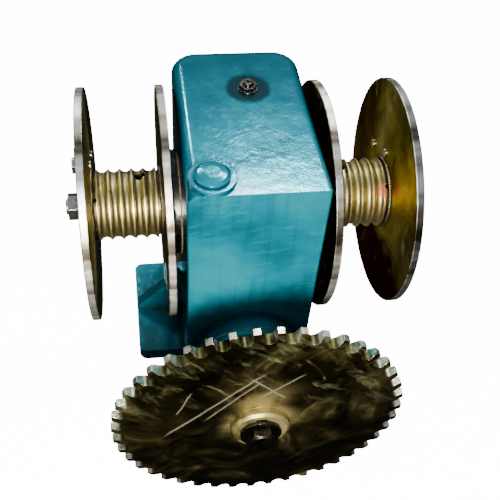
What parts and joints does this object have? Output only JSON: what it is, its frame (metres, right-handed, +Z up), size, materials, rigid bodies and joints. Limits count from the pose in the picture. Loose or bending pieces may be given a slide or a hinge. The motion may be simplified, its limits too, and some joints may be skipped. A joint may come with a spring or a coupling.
{
  "type": "worm gear set",
  "caption": "Worm gear set in a cast case: a chain sprocket on the worm shaft turns a cross shaft with a grooved, flanged rope drum on each side.",
  "frame": {"origin": "middle of the base plane, on the underside of the bottom cover, straight under the drum shaft axis", "axes": "+Z up from the base, +X along the drum shaft away from the foot, -Y towards the chain sprocket"},
  "size_m": [0.274, 0.2808, 0.2933],
  "materials": {
    "case_paint": "glossy teal enamel over a cast surface",
    "cast_iron": "machined cast iron",
    "sprocket_steel": "oily dark steel with scratches",
    "drum_steel": "turned pale gold steel",
    "flange_steel": "turned steel with light rust",
    "shaft_steel": "ground steel",
    "bearing_steel": "ground bearing steel",
    "cage_brass": "pressed brass",
    "bronze": "machined bronze",
    "fastener_steel": "blackened fasteners",
    "cap_iron": "dark iron caps",
    "seal_rubber": "nitrile rubber",
    "gasket_paper": "gasket paper",
    "nut_steel": "bright nuts"
  },
  "bodies": {
    "case": {"gear_case": "case_paint", "worm_front_cap": "case_paint", "worm_rear_cap": "case_paint", "filler_plug": "case_paint", "bottom_cover": "cast_iron", "left_bearing_cap": "cap_iron", "right_bearing_cap": "cap_iron", "bottom_cover_gasket": "gasket_paper", "left_cap_gasket": "gasket_paper", "right_cap_gasket": "gasket_paper", "worm_front_gasket": "gasket_paper", "worm_rear_gasket": "gasket_paper", "bottom_cover_screws": "fastener_steel", "side_cap_screws": "fastener_steel", "worm_cap_screws": "fastener_steel", "left_shaft_seal": "seal_rubber", "right_shaft_seal": "seal_rubber", "worm_shaft_seal": "seal_rubber", "left_outer_race": "bearing_steel", "right_outer_race": "bearing_steel", "worm_front_outer_race": "bearing_steel", "worm_rear_outer_race": "bearing_steel", "breather": "nut_steel", "drain_plug": "nut_steel", "level_plug": "nut_steel"},
    "cross_shaft": {"drum_shaft": "shaft_steel", "left_drum_key": "shaft_steel", "right_drum_key": "shaft_steel", "wheel_key": "shaft_steel", "left_rope_barrel": "drum_steel", "left_inner_flange": "flange_steel", "left_outer_flange": "flange_steel", "right_rope_barrel": "drum_steel", "right_inner_flange": "flange_steel", "right_outer_flange": "flange_steel", "shaft_end_washers": "nut_steel", "shaft_end_nuts": "nut_steel", "rope_clamp_plates": "nut_steel", "rope_clamp_bolts": "nut_steel", "worm_wheel_rim": "bronze", "worm_wheel_hub": "cast_iron", "rim_dowels": "fastener_steel", "left_wheel_spacer": "shaft_steel", "right_wheel_spacer": "shaft_steel", "left_inner_race": "bearing_steel", "right_inner_race": "bearing_steel"},
    "worm": {"worm_shaft": "shaft_steel", "sprocket_key": "shaft_steel", "sprocket": "sprocket_steel", "sprocket_washer": "nut_steel", "sprocket_bolt": "fastener_steel", "worm_front_inner_race": "bearing_steel", "worm_rear_inner_race": "bearing_steel"},
    "drum_bearing_sets": {"drum_bearing_balls": "bearing_steel", "drum_bearing_cages": "cage_brass"},
    "worm_bearing_sets": {"worm_bearing_balls": "bearing_steel", "worm_bearing_cages": "cage_brass"}
  },
  "joints": [
    {"name": "drum_turn", "type": "hinge", "parent": "case", "child": "cross_shaft", "pos_m": [0, 0, 0.142], "axis": [1, 0, 0], "continuous": true},
    {"name": "worm_turn", "type": "hinge", "parent": "case", "child": "worm", "pos_m": [0, 0, 0.052], "axis": [0, 1, 0], "continuous": true},
    {"name": "drum_bearing_roll", "type": "hinge", "parent": "case", "child": "drum_bearing_sets", "pos_m": [0, 0, 0.142], "axis": [1, 0, 0], "continuous": true},
    {"name": "worm_bearing_roll", "type": "hinge", "parent": "case", "child": "worm_bearing_sets", "pos_m": [0, 0, 0.052], "axis": [0, 1, 0], "continuous": true}
  ],
  "couplings": [
    {"joint": "worm_turn", "follows": "drum_turn", "ratio": -33},
    {"joint": "drum_bearing_roll", "follows": "drum_turn", "ratio": 0.39783},
    {"joint": "worm_bearing_roll", "follows": "drum_turn", "ratio": -13.128}
  ]
}
